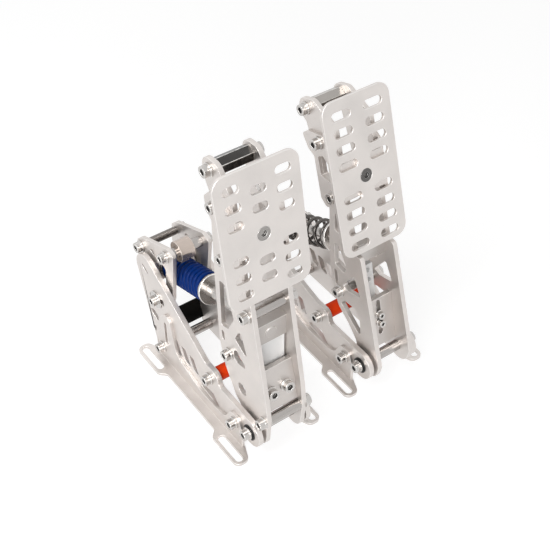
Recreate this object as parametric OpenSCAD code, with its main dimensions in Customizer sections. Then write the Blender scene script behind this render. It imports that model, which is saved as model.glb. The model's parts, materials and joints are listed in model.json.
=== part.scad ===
// Two-pedal set for a driving rig: a brake pedal on the left and a throttle pedal on the right.
// Each pedal is drawn about its own pivot line, with X across, Y away from the driver and Z up.
// Lengths are in millimetres. Outlines are lists of corners: along, up, corner radius.

/* [Set] */
// Distance between the middle planes of the two pedals
pedal_spacing = 127; // [100:1:180]
// How far the throttle pivot stands behind the brake pivot
throttle_back = 5; // [0:1:20]

/* [Plates] */
// Clear width between the two arm plates
arm_gap = 32; // [31:0.5:38]
// Thickness of an arm plate
arm_t = 4.5; // [4:0.5:6]
// Free gap between an arm plate and the frame plate beside it
side_gap = 2.3; // [1.5:0.1:4]
// Thickness of a frame plate
frame_t = 5; // [3:0.5:8]
// Thickness of a carrier plate
carrier_t = 4; // [3:0.5:4.5]
// Thickness of the sheet of a floor foot
foot_t = 3; // [2:0.5:4]

/* [Pivot] */
// Height of the pivot line above the floor
pivot_h = 30; // [29:0.5:34]
// Radius of the frame plate around the pivot
lobe_r = 14.5; // [13:0.5:15]
// Radius of the arm plate around the pivot
arm_lobe_r = 13.6; // [12:0.1:14]
// Diameter of the pivot axle
axle_d = 10; // [8:0.5:11]
// Diameter of a pivot bush inside the frame plate
bush_d = 14; // [13:0.5:15]
// Diameter of the rim of a pivot bush
bush_rim_d = 15.5; // [15.5:0.5:18]
// Thickness of the rim of a pivot bush
bush_rim_t = 1; // [0.6:0.1:1.5]
// Diameter of the boss on the arm plate that runs against the frame
boss_d = 18; // [15:0.5:20]
// Radial clearance of a turning or sliding fit
running_gap = 0.05; // [0.02:0.01:0.1]
// End clearance beside a turning boss
end_gap = 0.3; // [0.2:0.05:0.5]
// Swing of the brake arm in degrees
brake_swing = 5; // [3:0.5:6]
// Swing of the throttle arm in degrees
throttle_swing = 14; // [10:0.5:15]

/* [Bolts and rods] */
// Diameter of the bolt shanks
bolt_d = 6; // [5:0.5:6.5]
// Diameter of the bolt heads
head_d = 10; // [9:0.5:11]
// Height of the bolt heads
head_h = 5; // [4:0.5:7]
// Width across the flats of the hexagon socket in a bolt head
socket_af = 5; // [4:0.5:6]
// Depth of the hexagon socket as a share of the height of the head
socket_share = 0.6; // [0.4:0.05:0.7]
// Diameter of the washer under a bolt head
washer_d = 12; // [11:0.5:13]
// Thickness of the washer under a bolt head
washer_t = 1.4; // [1:0.1:2]
// Diameter of the wide washer on the carrier clamp
clamp_washer_d = 18; // [16:0.5:20]
// Shank diameter of the small screws
small_d = 4; // [3:0.5:4]
// Head diameter of the small screws
small_head_d = 7; // [5.5:0.5:8]
// Head height of the small screws
small_head_h = 4; // [3:0.5:5]
// Width across the flats of the socket in a small screw
small_af = 3; // [2.5:0.5:3]
// Diameter of the washer under a small screw
small_washer_d = 8.5; // [7.5:0.5:8.5]
// Thickness of the washer under a small screw
small_washer_t = 0.8; // [0.4:0.1:1.2]
// Length of thread in a cross rod
thread_l = 9; // [6:0.5:10]
// Clearance all round a bolt in a plate
bolt_clearance = 0.3; // [0.1:0.05:0.5]
// Clearance all round a bolt in its thread
thread_gap = 0.05; // [0.02:0.01:0.1]
// Diameter of the cross rods
rod_d = 10; // [9:0.5:11]
// Diameter of the dark rod across the back of the carriers
back_rod_d = 8; // [7.5:0.5:10]
// Diameter of the stop sleeve
sleeve_d = 14; // [12:0.5:16]
// Width across the flats of the hexagon spacer at the top of an arm
hex_af = 13; // [11:0.5:15]

/* [Floor feet] */
// Width of a floor slot
slot_w = 7; // [5:0.5:8]
// Length of a floor slot from end to end
slot_l = 34; // [26:1:36]
// Distance between the middles of the front and rear floor slots
slot_pitch = 133; // [126:1:140]
// Middle of the front floor slot behind the pivot
slot_front = 13; // [10:0.5:16]
// Width of metal around a floor slot
slot_rim = 3; // [2.5:0.5:4]
// Distance from the frame plate to the middle of a floor slot
slot_reach = 12.5; // [11:0.5:18]
// Width of the foot between its ears
foot_w = 12.2; // [10:0.2:14]

/* [Brake] */
// Width of the brake face plate
brake_face_w = 78; // [60:1:90]
// Height of the brake face plate above its screw
brake_face_up = 60.4; // [58:0.2:66]
// Height of the brake face plate below its screw
brake_face_down = 58.1; // [56:0.1:62]
// Lean of the brake face plate in degrees
brake_lean = 10.9; // [9:0.1:12]
// Distance of the brake spring line from the pivot
brake_reach = 107.8; // [104:0.2:110]
// Slope of the brake spring line in degrees
brake_slope = 18.3; // [17:0.1:20]
// Wire diameter of the brake spring
brake_wire = 4.6; // [3.5:0.1:4.8]
// Number of curls of the brake spring
brake_curls = 10.75; // [6:0.25:10.75]
// Height of the load cell
cell_h = 22; // [20:0.5:24]

/* [Throttle] */
// Width of the throttle face plate
throttle_face_w = 69.4; // [62:0.2:80]
// Height of the throttle face plate above its screw
throttle_face_up = 73.6; // [70:0.2:78]
// Height of the throttle face plate below its screw
throttle_face_down = 68.4; // [67:0.2:72]
// Lean of the throttle face plate in degrees
throttle_lean = 17.3; // [16:0.1:18]
// Distance of the throttle spring line from the pivot
throttle_reach = 113.5; // [111:0.1:115]
// Slope of the throttle spring line in degrees
throttle_slope = 26.5; // [25:0.1:28]
// Wire diameter of the throttle spring
throttle_wire = 3.3; // [2:0.1:3.5]
// Number of curls of the throttle spring
throttle_curls = 7.25; // [6:0.25:12]

/* [Springs] */
// Outer diameter of the springs
spring_d = 28.4; // [24:0.2:29]
// Diameter of the discs at the ends of a spring
disc_d = 29; // [28:0.5:31]
// Thickness of the discs at the ends of a spring
disc_t = 3; // [2:0.5:4]
// Diameter of the guide rod inside a spring
guide_d = 9; // [7:0.5:10]
// Diameter of the round nose of a push rod
nose_d = 12; // [10:0.5:13]
// Diameter of the shaft of a push rod
shaft_d = 15; // [13:0.5:18]
// Length of the nose of a push rod
nose_l = 16; // [14:0.5:24]
// Free space between a spring end and its disc
spring_gap = 0.1; // [0.05:0.05:0.3]
// Free space between the nose of a push rod and its socket
nose_gap = 0.5; // [0.4:0.05:0.8]
// Side room around the nose of a push rod
nose_room = 1.7; // [1.5:0.1:2]

/* [Face plates] */
// Thickness of a face plate
face_t = 3; // [2:0.5:4]
// Corner radius of a face plate
face_corner = 11; // [6:0.5:16]
// Thickness of the bracket behind a face plate
bracket_t = 3; // [2:0.5:4]
// Length of a slot in the brake face plate
brake_slot_l = 14.5; // [11:0.5:18]
// Length of a slot in the throttle face plate
throttle_slot_l = 19.5; // [14:0.5:22]
// Width of the slots in the face plates
face_slot_w = 7.8; // [5:0.2:9]
// Distance between slot rows in the brake face plate
brake_row = 15.6; // [13:0.1:16.5]
// Distance between slot rows in the throttle face plate
throttle_row = 14.9; // [13:0.1:15.2]
// Distance of the brake slot columns from the middle
brake_column = 23.5; // [21:0.5:25]
// Distance of the throttle slot columns from the middle
throttle_column = 16.3; // [16:0.1:19]
// Diameter of the screw in the middle of a face plate
face_screw_d = 12; // [10:0.5:13]

/* [Hidden] */
$fn = 48;

// Colours of the pieces
satin_steel = [0.82, 0.81, 0.79];
bright_steel = [0.74, 0.74, 0.74];
dark_steel = [0.20, 0.20, 0.20];
black_part = [0.04, 0.04, 0.04];
orange_part = [0.95, 0.30, 0.08];
blue_wire = [0.02, 0.20, 0.62];
chrome_wire = [0.32, 0.31, 0.30];
pale_block = [0.90, 0.90, 0.90];
rose_metal = [0.80, 0.70, 0.66];

// Stations across a pedal, from its middle plane outwards
arm_in = arm_gap / 2;
arm_out = arm_in + arm_t;
frame_in = arm_out + side_gap;
frame_out = frame_in + frame_t;
foot_out = frame_out + foot_t;
carrier_out = arm_out;
carrier_in = carrier_out - carrier_t;
flange_out = arm_out + bracket_t;
axle_end = frame_out + bush_rim_t + end_gap;

// Places of the fixed bolts: behind the pivot, above the pivot
pivot = [0, 0];
front_tie = [19.7, -4.1];
rear_tie = [140.8, -12.2];
stop_at = [63, 12];
clamp_at = [150, 41.5];
// Reach of the clamp slot each way from its middle, and its fall towards the back
slot_bend = 10;
slot_fall = 0.35;
// The throttle's rear seat is clamped at the back end of the slot
throttle_clamp_at = clamp_at + slot_bend * [1, -slot_fall];
back_rod_back = 184;
back_rod_low = 79.5;
top_rod_back = 139;

// Places of the bolts on the arms
lower_rod_at = [-12, 20];
brake_mid_at = [39.1, 61.7];
brake_upper_back = 10.8;
brake_top_at = [57, 248.5];
throttle_mid_at = [42.9, 57.9];
throttle_top_at = [100.5, 225];

// Front face of each face plate at its screw
brake_face_at = [15, 204.7];
throttle_face_at = [41.7, 182.2];

// Depth of the arm's front edge behind the front of the face plate
arm_setback = face_t + bracket_t;
// Rear end of the carriers behind the pivot
carrier_back = 193;

// Distance of the spring disc and of the rear seat from the nose of the push rod
brake_disc_at = 68;
brake_seat_at = 148.2;
throttle_disc_at = 42;
// Length of the rear seat block ahead of and behind its trunnion line
seat_half = 7;
// Height of the rear seat block
seat_h = 18;
// Diameter of the trunnions of the rear seat block
trunnion_d = 10;
// Side clearance of a rear seat block between its plates
seat_side_gap = 0.1;
// Length of guide rod that stands out behind the seat
guide_tail = 4;
// Diameter and width of the eye on the top rod and its place across
eye_d = 20;
eye_w = 14.5;
eye_x = -2;
// Width, thickness and depth of the lug under the eye
lug_w = 8;
lug_t = 6;
lug_down = 3;
// Free space between the eye and the brake spring
eye_gap = 5.45;
// Least free space between the brake's rear seat and the rod above it
seat_gap = 2;
// Free space between the load cell and the rod above it
upper_gap = 10.17;

// Floor edge, heel and top corner of a frame plate, and its bulge round the stop rod
frame_floor = -24;
frame_heel = 156;
frame_top = [195, 101.9, 16.5];
nose_r = 15;
// Top corner of the throttle's frame plates, which end just above their clamp screws
throttle_frame_top = [180, 53, 14];
// First edges of the row of cuts in a frame plate, near its middle or towards its back
row_front = [82, 96, 110];
row_back = [102, 116, 130];

// Outline helpers
function unit(v) = v / norm(v);
function corner(a, b, c, r) =
    let (
        u = unit(a - b),
        w = unit(c - b),
        half = acos(max(-1, min(1, u * w))) / 2,
        run = r / tan(half),
        centre = b + unit(u + w) * r / sin(half),
        s = b + u * run - centre,
        e = b + w * run - centre,
        from = atan2(s[1], s[0]),
        turn = (atan2(e[1], e[0]) - from + 540) % 360 - 180,
        steps = max(2, ceil(abs(turn) / 10))
    )
    [for (k = [0:steps]) centre + r * [cos(from + turn * k / steps), sin(from + turn * k / steps)]];
function flat(p) = [p[0], p[1]];
function rounded(list) =
    let (n = len(list))
    [
        for (k = [0:n - 1])
            each list[k][2] > 0
                ? corner(flat(list[(k + n - 1) % n]), flat(list[k]), flat(list[(k + 1) % n]), list[k][2])
                : [flat(list[k])]
    ];

// A point given as depth behind a face plate and height along it
function face_point(at, lean, depth, along) =
    at + depth * [cos(lean), -sin(lean)] + along * [sin(lean), cos(lean)];
// Directions along a spring line, away from the driver, and square to it
function line_dir(slope) = [cos(slope), -sin(slope)];
function line_up(slope) = [sin(slope), cos(slope)];
// Middle of the nose of a push rod, so that the arm swings evenly about the spring line
function nose_at(reach, slope, swing) =
    reach * line_up(slope) - reach * tan(swing / 2) * line_dir(slope);
brake_nose = nose_at(brake_reach, brake_slope, brake_swing);
throttle_nose = nose_at(throttle_reach, throttle_slope, throttle_swing);
brake_seat = brake_nose + brake_seat_at * line_dir(brake_slope);
// The throttle's seat block hangs on its clamp screws, which lie below the spring line
throttle_seat_at = (throttle_clamp_at - throttle_nose) * line_dir(throttle_slope);
throttle_clamp_drop = (throttle_nose - throttle_clamp_at) * line_up(throttle_slope);
// Height of a spring line at a distance behind the pivot
function line_height(nose, slope, y) = nose[1] - (y - nose[0]) * tan(slope);
// Rods that keep clear of the brake spring, its rear seat and the load cell
back_rod_at = [
    back_rod_back,
    max(
        back_rod_low,
        line_height(brake_nose, brake_slope, back_rod_back)
            + (seat_h / 2 + seat_gap + back_rod_d / 2) / cos(brake_slope)
    )
];
top_rod_at = [
    top_rod_back,
    line_height(brake_nose, brake_slope, top_rod_back)
        + (spring_d / 2 + eye_gap + eye_d / 2) / cos(brake_slope)
];
brake_upper_at = [brake_upper_back, brake_nose[1] + cell_h / 2 + upper_gap + rod_d / 2];

// Ends of the pair of pedals along Y
function plate_end(outline) = max([for (p = rounded(outline)) p[0]]);
set_front = lower_rod_at[0] - washer_d / 2;
set_back = max(plate_end(carrier_outline()), plate_end(frame_outline(throttle_frame_top)) + throttle_back);
set_middle = (set_front + set_back) / 2;

// Placing
module place_brake() {
    translate([-pedal_spacing / 2, -set_middle, pivot_h]) children();
}
module place_throttle() {
    translate([pedal_spacing / 2, throttle_back - set_middle, pivot_h]) children();
}
module on_side(side) {
    if (side < 0) mirror([1, 0, 0]) children();
    else children();
}
module on_line(at, slope) {
    translate([0, at[0], at[1]]) rotate([-(90 + slope), 0, 0]) children();
}
module on_face(at, lean) {
    translate([0, at[0], at[1]]) rotate([-lean, 0, 0]) children();
}

// Basic shapes
module plate(outline, from, t) {
    translate([from, 0, 0]) rotate([90, 0, 90]) linear_extrude(t) polygon(rounded(outline));
}
module cross_pin(at, d, from, to) {
    translate([from, at[0], at[1]]) rotate([0, 90, 0]) cylinder(d = d, h = to - from);
}
module cut_pin(at, d, from, to) {
    cross_pin(at, d, from - 1, to + 1);
}
module cut_plate(outline, from, t) {
    plate(outline, from - 1, t + 2);
}
// Socket screw with its washer, with the washer's seat at the origin and the head towards +X
module socket_screw(grip, shank, head, tall, washer, washer_h, flats) {
    rotate([0, 90, 0])
        difference() {
            union() {
                translate([0, 0, -grip]) cylinder(d = shank, h = grip + washer_h);
                cylinder(d = washer, h = washer_h);
                translate([0, 0, washer_h]) cylinder(d = head, h = tall);
            }
            translate([0, 0, washer_h + tall * (1 - socket_share)])
                cylinder(d = flats / cos(30), h = tall, $fn = 6);
        }
}
module cap_screw(grip, washer) {
    socket_screw(grip, bolt_d, head_d, head_h, washer, washer_t, socket_af);
}
module small_screw(grip) {
    socket_screw(grip, small_d, small_head_d, small_head_h, small_washer_d, small_washer_t, small_af);
}
module bolt_pair(at, seat, grip, washer) {
    for (side = [-1, 1])
        on_side(side)
            translate([seat, at[0], at[1]])
                cap_screw(grip, washer);
}
// Cross rod between two plates, with a threaded hole in each end
module cross_rod(at, d, half) {
    difference() {
        cross_pin(at, d, -half, half);
        for (side = [-1, 1])
            on_side(side)
                cross_pin(at, bolt_d + 2 * thread_gap, half - thread_l, half + 1);
    }
}
// Bolt length that reaches from its seat to the end of its thread
function grip_to(seat, rod_end) = seat - rod_end + thread_l - 1;

// Feet
slot_x = frame_out + slot_reach;
ear_half = slot_w / 2 + slot_rim;
foot_edge = frame_out + foot_w;
slot_half = slot_l / 2;
slot_rear = slot_front + slot_pitch;
ear_blend = 6;
foot_front = 8;
foot_rear = 152;
function foot_plan() = [
    [frame_out, foot_front, 0],
    [slot_x - ear_half, slot_front - slot_half - slot_rim, ear_half - 0.1],
    [slot_x + ear_half, slot_front - slot_half - slot_rim, ear_half - 0.1],
    [slot_x + ear_half, slot_front + slot_half + slot_rim, ear_blend],
    [foot_edge, slot_front + slot_half + slot_rim + ear_blend, ear_blend],
    [foot_edge, slot_rear - slot_half - slot_rim - ear_blend, ear_blend],
    [slot_x + ear_half, slot_rear - slot_half - slot_rim, ear_blend],
    [slot_x + ear_half, slot_rear + slot_half + slot_rim, ear_half - 0.1],
    [slot_x - ear_half, slot_rear + slot_half + slot_rim, ear_half - 0.1],
    [frame_out, foot_rear, 0]
];
function foot_side() = [
    [foot_front, -pivot_h, 0],
    [foot_front + 1, front_tie[1], 4],
    [front_tie[0] - 7, front_tie[1] + 10, 4],
    [front_tie[0] + 6, front_tie[1] + 10, 6],
    [36, -13, 14],
    [77, -15, 40],
    [116, -3, 14],
    [124, 33, 4],
    [128, 37, 3],
    [134, 36, 3],
    [140, 29, 5],
    [141, 12, 8],
    [rear_tie[0] + 11, rear_tie[1] + 10, 8],
    [foot_rear, -pivot_h, 0]
];
module foot(side) {
    color(satin_steel)
        on_side(side)
            difference() {
                union() {
                    translate([0, 0, -pivot_h])
                        linear_extrude(foot_t)
                            polygon(rounded(foot_plan()));
                    plate(foot_side(), frame_out, foot_t);
                }
                for (middle = [slot_front, slot_rear])
                    translate([slot_x, middle, -pivot_h - 1]) floor_slot();
                for (at = [front_tie, rear_tie])
                    cut_pin(at, bolt_d + 2 * bolt_clearance, frame_out, foot_out);
                cut_plate(tab_slot(), frame_out, foot_t);
            }
}
module floor_slot() {
    run = slot_l - slot_w;
    for (end = [-1, 1])
        translate([0, end * run / 2, 0]) cylinder(d = slot_w, h = foot_t + 2);
    translate([-slot_w / 2, -run / 2, 0]) cube([slot_w, run, foot_t + 2]);
}
function tab_slot() = [
    [131, -2, 1.9],
    [135, -2, 1.9],
    [135, 26, 1.9],
    [131, 26, 1.9]
];

// Frames
function frame_outline(top) = [
    [-lobe_r, -lobe_r, lobe_r - 0.1],
    [-lobe_r, lobe_r, lobe_r - 0.1],
    [stop_at[0] - nose_r, lobe_r, 5],
    [stop_at[0] - nose_r + 2, stop_at[1] + nose_r, 8.5],
    [stop_at[0] + 5.5, stop_at[1] + nose_r - 0.8, 8],
    top,
    [frame_heel, frame_floor, 9],
    [30, frame_floor, 8],
    [lobe_r, -lobe_r, 10]
];
// Cut-outs of a frame plate
function long_cut() = [[46, -16, 1.5], [80, -11, 1.5], [75, -6.5, 1.5], [58, -4, 2]];
function row_cut(y) = [[y - 1, -3, 1.5], [y + 8.5, -2, 1.5], [y + 16, 13, 1.5], [y + 7.5, 13, 1.5]];
function low_cut() = [[150.5, 10, 2.5], [166, 17, 2], [159, 22, 2], [150.5, 19, 2]];
function heel_cut() = [[157, -9, 1], [163, -3, 1], [157, 0, 1]];
function top_cut() = [[164, 62.6, 1.6], [173.5, 67.8, 1.6], [171.8, 70.8, 1.6], [162.4, 65.6, 1.6]];
module clamp_slot(start) {
    for (share = [start:0.5:1])
        cut_pin(
            clamp_at + share * slot_bend * [1, -slot_fall],
            bolt_d + 2 * bolt_clearance,
            frame_in,
            frame_out
        );
}
module frame(side, top, rows, slot_start) {
    color(satin_steel)
        on_side(side)
            difference() {
                plate(frame_outline(top), frame_in, frame_t);
                cut_pin(pivot, bush_d, frame_in, frame_out);
                for (at = [front_tie, rear_tie, stop_at])
                    cut_pin(at, bolt_d + 2 * bolt_clearance, frame_in, frame_out);
                clamp_slot(slot_start);
                cut_plate(long_cut(), frame_in, frame_t);
                for (y = rows) cut_plate(row_cut(y), frame_in, frame_t);
                cut_plate(low_cut(), frame_in, frame_t);
                cut_plate(heel_cut(), frame_in, frame_t);
                cut_plate(top_cut(), frame_in, frame_t);
            }
}
module frame_bolts(clamp, clamp_grip) {
    color(bright_steel) {
        for (at = [front_tie, rear_tie])
            bolt_pair(at, foot_out, grip_to(foot_out, frame_in), washer_d);
        bolt_pair(stop_at, frame_out, grip_to(frame_out, frame_in), washer_d);
        bolt_pair(clamp, frame_out, clamp_grip, clamp_washer_d);
    }
}
module carrier_bolts() {
    color(bright_steel)
        for (at = [back_rod_at, top_rod_at])
            bolt_pair(at, carrier_out, grip_to(carrier_out, carrier_in), washer_d);
}
module pivot_bushes() {
    color(dark_steel)
        for (side = [-1, 1])
            on_side(side)
                difference() {
                    union() {
                        cross_pin(pivot, bush_d, frame_in, frame_out);
                        cross_pin(pivot, bush_rim_d, frame_out, frame_out + bush_rim_t);
                    }
                    cut_pin(pivot, axle_d + 2 * running_gap, frame_in, frame_out + bush_rim_t);
                }
}
module frame_rods() {
    color(bright_steel)
        for (at = [front_tie, rear_tie, stop_at])
            cross_rod(at, rod_d, frame_in);
}
module stop_sleeve() {
    color(orange_part)
        difference() {
            cross_pin(stop_at, sleeve_d, -frame_in, frame_in);
            cut_pin(stop_at, rod_d + 2 * running_gap, -frame_in, frame_in);
        }
}
module rear_panel() {
    panel_t = 2;
    panel_h = 22;
    notch_x = -2.5;
    notch_w = 9.6;
    notch_h = 12.5;
    color(black_part)
        translate([0, 153.4, -14])
            rotate([-17.2, 0, 0])
                difference() {
                    translate([-frame_in, 0, 0]) cube([2 * frame_in, panel_t, panel_h]);
                    translate([notch_x, -1, notch_h])
                        rotate([-90, 0, 0])
                            cylinder(d = notch_w, h = panel_t + 2);
                    translate([notch_x - notch_w / 2, -1, -1]) cube([notch_w, panel_t + 2, notch_h + 1]);
                }
}

// Carriers
carrier_boss_d = 18;
function carrier_outline() = [
    [top_rod_at[0] - 13.7, top_rod_at[1] + 9.8, 4],
    [top_rod_at[0] - 3, top_rod_at[1] + 11.6, 5],
    [back_rod_at[0] - 1, back_rod_at[1] + 11.3, 6],
    [back_rod_at[0] + 6.7, back_rod_at[1] + 4, 4],
    [carrier_back, back_rod_at[1] - 18.5, 6],
    [brake_seat[0] + 9, brake_seat[1] - 11, 9],
    [clamp_at[0] + 6, clamp_at[1] - 11, 9],
    [clamp_at[0] - 10, clamp_at[1] - 9, 9],
    [132.6, 50, 14]
];
function carrier_opening() = [
    [top_rod_at[0] + 1, top_rod_at[1] - 12.3, 4],
    [164, 75, 5],
    [clamp_at[0] + 12, clamp_at[1] + 24.5, 5],
    [clamp_at[0] + 1, clamp_at[1] + 12, 4],
    [clamp_at[0] - 6.5, clamp_at[1] + 16, 3]
];
function head_cut() = [[158.5, 83.5, 2], [170, 86, 2], [161.5, 91, 2]];
module carrier(side) {
    color(satin_steel)
        on_side(side)
            difference() {
                union() {
                    plate(carrier_outline(), carrier_in, carrier_t);
                    cross_pin(clamp_at, carrier_boss_d, carrier_out, frame_in);
                    cross_pin(brake_seat, carrier_boss_d, carrier_out, frame_in);
                }
                cut_plate(carrier_opening(), carrier_in, carrier_t);
                cut_plate(head_cut(), carrier_in, carrier_t);
                cut_pin(clamp_at, bolt_d + 2 * thread_gap, carrier_in, frame_in);
                for (at = [back_rod_at, top_rod_at])
                    cut_pin(at, bolt_d + 2 * bolt_clearance, carrier_in, carrier_out);
                cut_pin(brake_seat, trunnion_d + 2 * running_gap, carrier_in, carrier_out - 1);
            }
}
module back_rod() {
    color(dark_steel) cross_rod(back_rod_at, back_rod_d, carrier_in);
}
module top_rod() {
    color(bright_steel) cross_rod(top_rod_at, rod_d, carrier_in);
}
module rod_eye() {
    lug_reach = eye_d / 2 + lug_down;
    color(rose_metal)
        difference() {
            union() {
                cross_pin(top_rod_at, eye_d, eye_x - eye_w / 2, eye_x + eye_w / 2);
                translate([eye_x - lug_w / 2, top_rod_at[0] - lug_t / 2, top_rod_at[1] - lug_reach])
                    cube([lug_w, lug_t, lug_reach]);
            }
            cut_pin(top_rod_at, rod_d + 2 * running_gap, eye_x - eye_w / 2, eye_x + eye_w / 2);
        }
}
module rear_seat(nose, slope, seat_dist) {
    half_w = carrier_in - seat_side_gap;
    color(bright_steel)
        on_line(nose, slope)
            difference() {
                union() {
                    translate([-half_w, -seat_h / 2, seat_dist - seat_half])
                        cube([2 * half_w, seat_h, 2 * seat_half]);
                    translate([0, 0, seat_dist - seat_half - disc_t]) cylinder(d = disc_d, h = disc_t);
                    translate([-carrier_out, 0, seat_dist])
                        rotate([0, 90, 0])
                            cylinder(d = trunnion_d, h = 2 * carrier_out);
                }
                translate([0, 0, seat_dist - seat_half - disc_t - 1])
                    cylinder(d = guide_d + 2 * running_gap, h = 2 * seat_half + disc_t + 2);
            }
}
module clamped_seat(nose, slope, seat_dist, drop) {
    half_w = frame_in - seat_side_gap;
    over = max(seat_h / 2, seat_half - drop);
    under = max(seat_h / 2, seat_half + drop);
    color(bright_steel)
        on_line(nose, slope)
            difference() {
                union() {
                    translate([-half_w, -over, seat_dist - seat_half])
                        cube([2 * half_w, over + under, 2 * seat_half]);
                    translate([0, 0, seat_dist - seat_half - disc_t]) cylinder(d = disc_d, h = disc_t);
                }
                translate([0, 0, seat_dist - seat_half - disc_t - 1])
                    cylinder(d = guide_d + 2 * running_gap, h = 2 * seat_half + disc_t + 2);
                for (side = [-1, 1])
                    on_side(side)
                        translate([half_w - thread_l, drop, seat_dist])
                            rotate([0, 90, 0])
                                cylinder(d = bolt_d + 2 * thread_gap, h = thread_l + 1);
            }
}

// Push rods and springs
module push_rod(nose, slope, disc_dist, seat_dist) {
    color(bright_steel)
        on_line(nose, slope) {
            sphere(d = nose_d);
            cylinder(d = nose_d, h = nose_l + 1);
            translate([0, 0, nose_l]) cylinder(d = shaft_d, h = disc_dist - nose_l);
            cylinder(d = guide_d, h = seat_dist + seat_half + guide_tail);
        }
}
module spring_disc(nose, slope, disc_dist) {
    color(bright_steel)
        on_line(nose, slope)
            difference() {
                translate([0, 0, disc_dist]) cylinder(d = disc_d, h = disc_t);
                translate([0, 0, disc_dist - 1]) cylinder(d = guide_d + 2 * thread_gap, h = disc_t + 2);
            }
}
curl_rings = 8;
wire_sides = 6;
function curl_radius(wire) = (spring_d - wire) / 2;
function curl_rise(length, wire, curls) = (length - wire - 2 * spring_gap) / curls;
function curl_point(k, radius, rise) =
    [radius * cos(k * 360 / curl_rings), radius * sin(k * 360 / curl_rings), rise * k / curl_rings];
function wire_ring(k, radius, rise, wire) =
    let (turn = k * 360 / curl_rings, middle = curl_point(k, radius, rise))
    [
        for (s = [0:wire_sides - 1])
            let (a = s * 360 / wire_sides)
            middle + wire / 2 * [cos(a) * cos(turn), cos(a) * sin(turn), sin(a)]
    ];
// Least free space between two curls, measured between wire points one curl apart
function curl_gap(radius, rise, wire, rings) =
    min([
        for (k = [0:rings - curl_rings], p = wire_ring(k, radius, rise, wire))
            for (q = wire_ring(k + curl_rings, radius, rise, wire)) norm(p - q)
    ]);
module wound_spring(length, wire, curls) {
    radius = curl_radius(wire);
    rise = curl_rise(length, wire, curls);
    rings = floor(curls * curl_rings);
    points = [for (k = [0:rings]) each wire_ring(k, radius, rise, wire)];
    last = rings * wire_sides;
    sides = [
        for (k = [0:rings - 1], s = [0:wire_sides - 1])
            let (
                a = k * wire_sides + s,
                b = k * wire_sides + (s + 1) % wire_sides
            )
            each [[a, a + wire_sides, b], [b, a + wire_sides, b + wire_sides]]
    ];
    starts = [for (s = [1:wire_sides - 2]) [0, s, s + 1]];
    ends = [for (s = [1:wire_sides - 2]) [last, last + s + 1, last + s]];
    polyhedron(points, concat(sides, starts, ends));
}
brake_spring_l = brake_seat_at - seat_half - brake_disc_at - 2 * disc_t;
throttle_spring_l = throttle_seat_at - seat_half - throttle_disc_at - 2 * disc_t;
module spring(nose, slope, disc_dist, length, wire, curls) {
    on_line(nose, slope)
        translate([0, 0, disc_dist + disc_t + spring_gap + wire / 2])
            wound_spring(length, wire, curls);
}
echo(
    brake_curl_gap = curl_gap(
        curl_radius(brake_wire),
        curl_rise(brake_spring_l, brake_wire, brake_curls),
        brake_wire,
        floor(brake_curls * curl_rings)
    )
);
echo(
    throttle_curl_gap = curl_gap(
        curl_radius(throttle_wire),
        curl_rise(throttle_spring_l, throttle_wire, throttle_curls),
        throttle_wire,
        floor(throttle_curls * curl_rings)
    )
);

// Arms
function brake_front(depth, along) = face_point(brake_face_at, brake_lean, depth, along);
function throttle_front(depth, along) = face_point(throttle_face_at, throttle_lean, depth, along);
function tagged(p, r) = [p[0], p[1], r];
brake_foot = -brake_face_down;
throttle_foot = -throttle_face_down;
function brake_arm_outline() = [
    [-arm_lobe_r, -arm_lobe_r, arm_lobe_r - 0.2],
    [-17, 25, 8],
    [-14, 48, 20],
    tagged(brake_front(arm_setback - 4, brake_foot - 1.5), 2),
    tagged(brake_front(arm_setback, brake_foot), 1),
    tagged(brake_front(arm_setback, 36), 5),
    [brake_top_at[0] - 10, brake_top_at[1] + 10.5, 8],
    [brake_top_at[0] + 9.5, brake_top_at[1] + 9.5, 9.2],
    [brake_top_at[0] + 9.5, brake_top_at[1] - 9, 7],
    [brake_top_at[0] + 1, brake_top_at[1] - 22, 8],
    [57, 140, 40],
    [54, 66, 30],
    [46.4, 40, 20],
    [31.7, 15.8, 12],
    [21, 6.8, 5],
    [arm_lobe_r, 6, 3],
    [arm_lobe_r, -arm_lobe_r, arm_lobe_r - 0.2]
];
function brake_arm_cuts() = [
    [[11.3, 77.5, 2], [30, 88, 2.5], [25, 98.5, 2.5], [20.7, 102.5, 2]],
    [
        [16, 62.3, 2], [27.5, 60.2, 3], [32.6, 63, 3], [32.2, 71, 3],
        [28, 75.5, 2], [23, 70.5, 3], [16, 67.3, 2]
    ],
    [[15.5, 26, 5], [27, 26, 5], [27, 38, 5], [15.5, 38, 5]],
    [[45.5, 72, 1.4], [49.5, 72, 1.4], [50.8, 82, 1.4], [46.5, 82, 1.4]],
    [[40, 91, 3], [50, 88, 2], [50.5, 140, 3], [36, 140, 3], [34, 118, 8], [30.5, 110, 3]],
    brake_flange_cut()
];
function throttle_arm_outline() = [
    [-arm_lobe_r, -arm_lobe_r, arm_lobe_r - 0.2],
    [-17.4, 5.5, 5],
    [-12.9, 19.3, 20],
    tagged(throttle_front(-2, throttle_foot - 4), 3),
    tagged(throttle_front(arm_setback, throttle_foot - 1), 2),
    tagged(throttle_front(arm_setback, 48), 5),
    [throttle_top_at[0] - 8.5, throttle_top_at[1] + 12.5, 7],
    [throttle_top_at[0] + 9.5, throttle_top_at[1] + 6.5, 9],
    [throttle_top_at[0] + 9.5, throttle_top_at[1] - 7, 7],
    [throttle_top_at[0] - 1, throttle_top_at[1] - 13, 5],
    [63.8, 143, 20],
    [61.4, 100, 40],
    [55.5, 62, 20],
    [44.3, 38.4, 14],
    [28.2, 26.6, 10],
    [16.4, 15, 6],
    [arm_lobe_r, 6, 3],
    [arm_lobe_r, -arm_lobe_r, arm_lobe_r - 0.2]
];
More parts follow.
